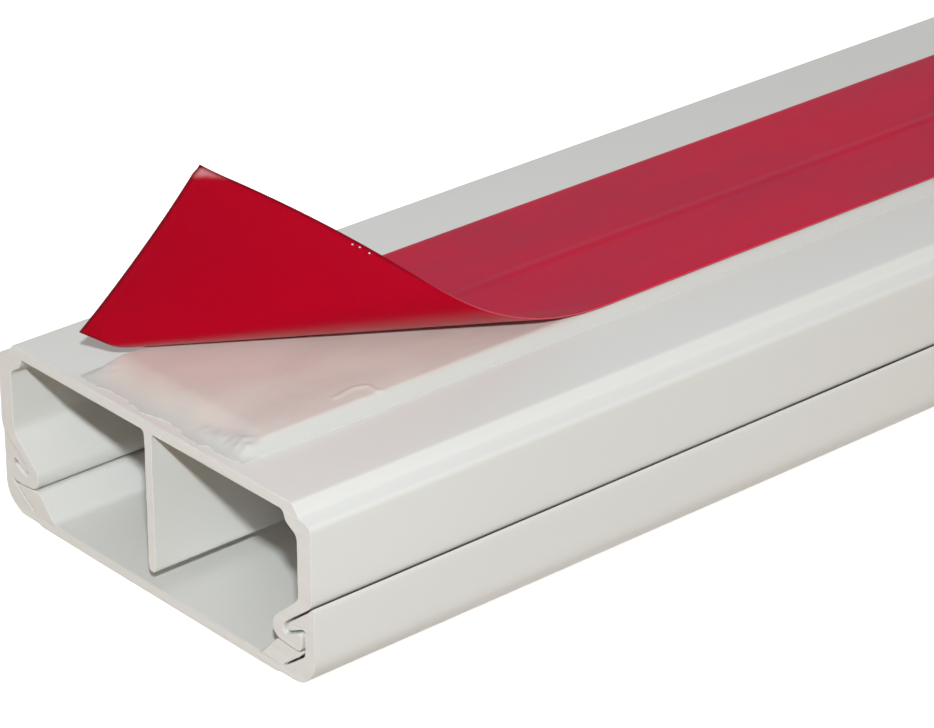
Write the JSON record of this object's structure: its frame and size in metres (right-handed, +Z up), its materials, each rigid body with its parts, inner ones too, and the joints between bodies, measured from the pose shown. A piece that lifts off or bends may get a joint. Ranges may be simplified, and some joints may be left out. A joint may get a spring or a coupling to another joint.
{
  "type": "cord cover raceway",
  "caption": "Two-channel cord cover raceway: base with divider, clip-on cover, and mounting tape whose red release film is peeled at one end.",
  "frame": {"origin": "middle of the cover's visible face, on the surface it lies on", "axes": "+Y along the raceway's length, away from the peeled end; +Z up, from the cover's visible face to the adhesive back; +X across the width"},
  "size_m": [0.04, 0.4, 0.0354],
  "materials": {
    "white_pvc": "smooth semi-matt extruded PVC",
    "mounting_tape": "translucent tacky foam",
    "red_film": "glossy thin film"
  },
  "bodies": {
    "base": {"base": "white_pvc", "adhesive_tape": "mounting_tape", "release_liner": "red_film"},
    "cover": {"cover": "white_pvc"}
  },
  "joints": [
    {"name": "cover_slide", "type": "slide", "parent": "base", "child": "cover", "axis": [0, 1, 0], "range_m": [0, 0.38]}
  ]
}
